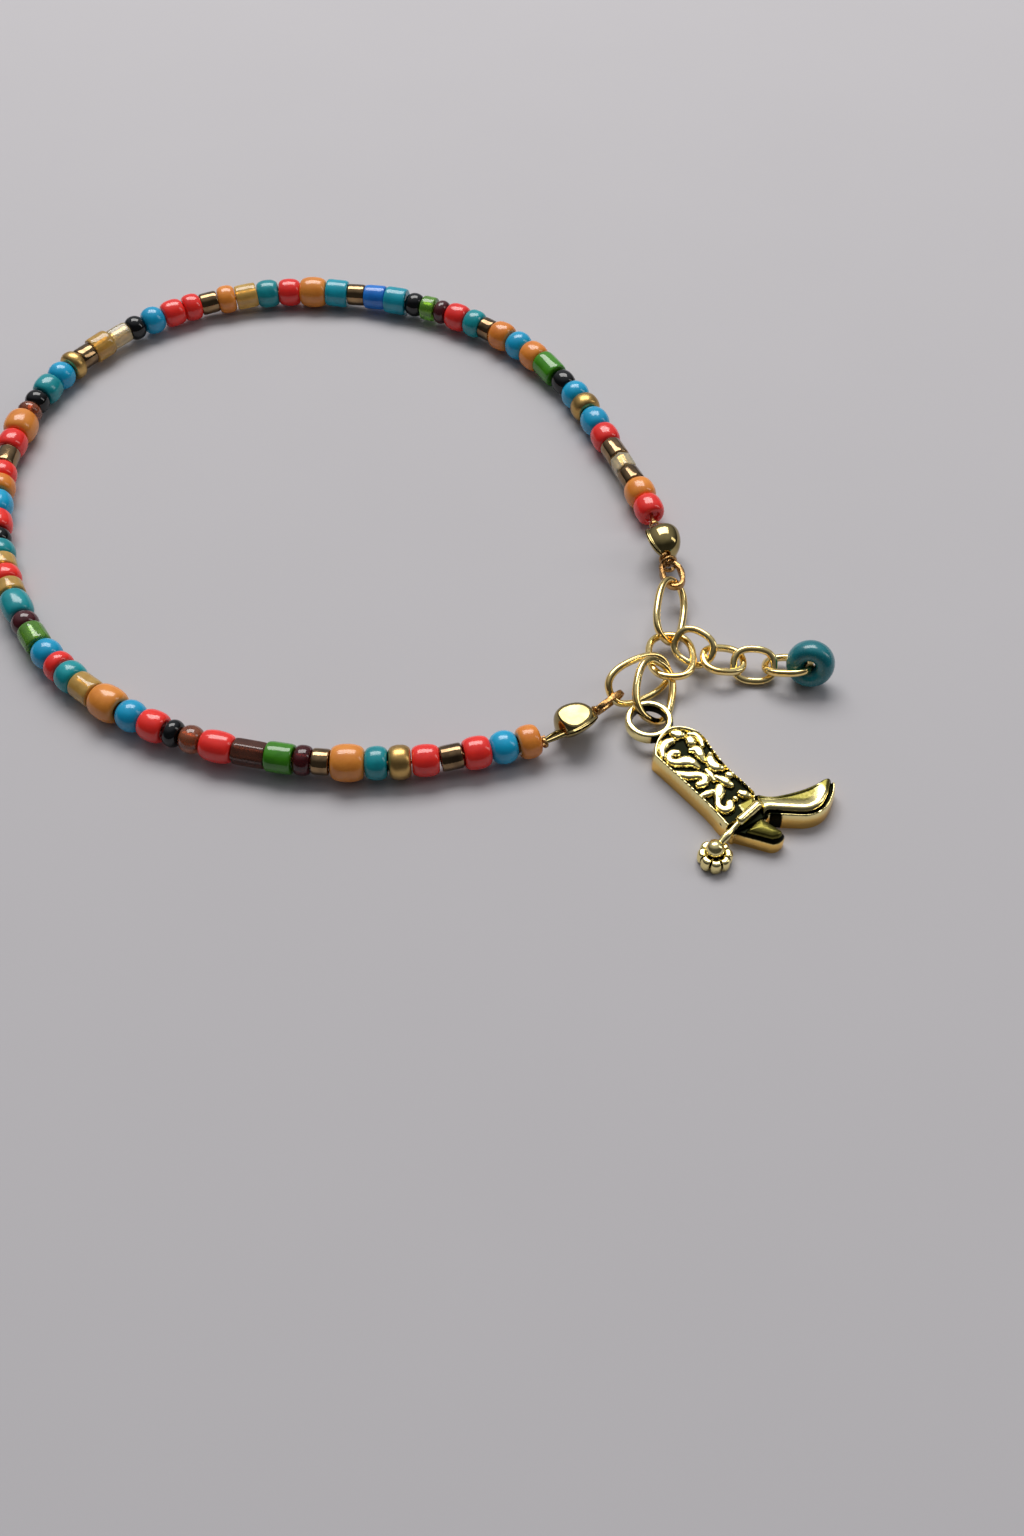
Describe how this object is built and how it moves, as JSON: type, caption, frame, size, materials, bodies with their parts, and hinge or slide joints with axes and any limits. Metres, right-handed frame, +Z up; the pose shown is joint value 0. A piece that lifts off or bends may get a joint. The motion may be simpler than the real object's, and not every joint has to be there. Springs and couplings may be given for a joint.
{
  "type": "beaded charm bracelet",
  "caption": "Stretch of small coloured glass beads laid in a loop, closed by two gold bead tips, oval links and a ring that carries a boot charm and a short extender chain.",
  "frame": {"origin": "middle of the footprint, on the surface that the bracelet lies on", "axes": "+Z up from the surface; +X towards the extender chain's side; +Y away from the boot charm's side"},
  "size_m": [0.0754, 0.0731, 0.0041],
  "materials": {
    "glass_beads": "small opaque and lined glass beads in red, orange, blue, teal, green, gold and bronze, glossy",
    "gold_findings": "polished gold plating",
    "end_bead_glass": "glossy opaque turquoise glass",
    "antique_gold": "polished gold relief over blackened recesses"
  },
  "bodies": {
    "root": {"bead_string_near": "glass_beads", "bead_string_far": "glass_beads", "bead_tip_lower": "gold_findings", "bead_tip_upper": "gold_findings", "link_lower": "gold_findings", "link_upper": "gold_findings", "centre_ring": "gold_findings", "charm_ring": "gold_findings", "extender_link_1": "gold_findings", "extender_link_2": "gold_findings", "extender_link_3": "gold_findings", "extender_link_4": "gold_findings", "end_bead": "end_bead_glass", "boot_charm": "antique_gold"}
  },
  "joints": []
}
